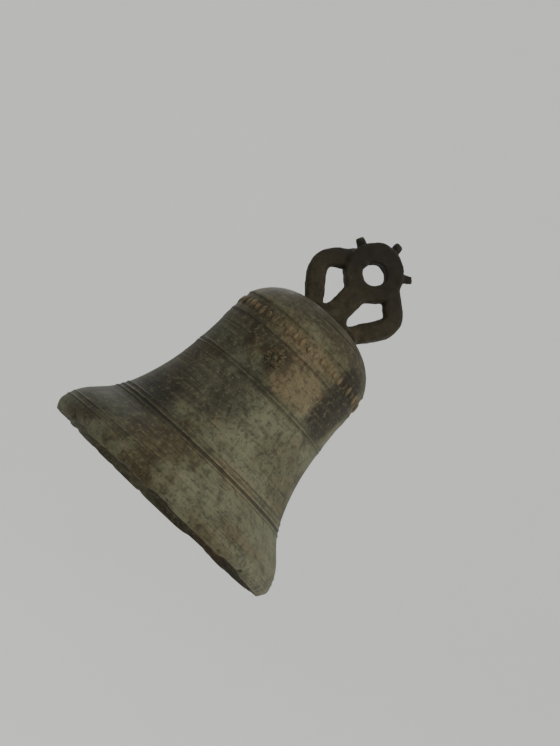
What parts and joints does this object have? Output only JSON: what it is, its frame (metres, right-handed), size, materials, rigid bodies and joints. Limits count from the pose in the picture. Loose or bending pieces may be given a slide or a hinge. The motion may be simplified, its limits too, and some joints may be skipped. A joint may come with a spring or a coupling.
{
  "type": "church bell",
  "caption": "Small cast bell with flared lip, moulding wires, a two-canon crown with an eyed argent, and an iron clapper hung on a leather strap inside.",
  "frame": {"origin": "centre of the mouth, in the plane of the lip's edge", "axes": "+Z along the bell's axis towards the crown, +Y along the argent's eye, +X along the crown's two canons"},
  "size_m": [0.34, 0.3398, 0.432],
  "materials": {
    "bell_bronze": "weathered grey-green patina",
    "crown_bronze": "dark weathered patina",
    "forged_iron": "rusted forged iron",
    "strap_leather": "dry aged harness leather"
  },
  "bodies": {
    "bell": {"bell_shell": "bell_bronze", "argent": "crown_bronze", "canon_left": "crown_bronze", "canon_right": "crown_bronze", "crown_staple": "forged_iron"},
    "strap": {"clapper_strap": "strap_leather", "buckle_frame": "forged_iron", "buckle_tongue": "forged_iron", "strap_keeper": "strap_leather"},
    "clapper": {"clapper": "forged_iron"}
  },
  "joints": [
    {"name": "strap_swing", "type": "hinge", "parent": "bell", "child": "strap", "pos_m": [0, 0, 0.25], "axis": [0, 1, 0], "range_deg": [-20, 20]},
    {"name": "clapper_swing", "type": "hinge", "parent": "strap", "child": "clapper", "pos_m": [0, 0, 0.186], "axis": [0, 1, 0], "range_deg": [-8, 8]}
  ]
}
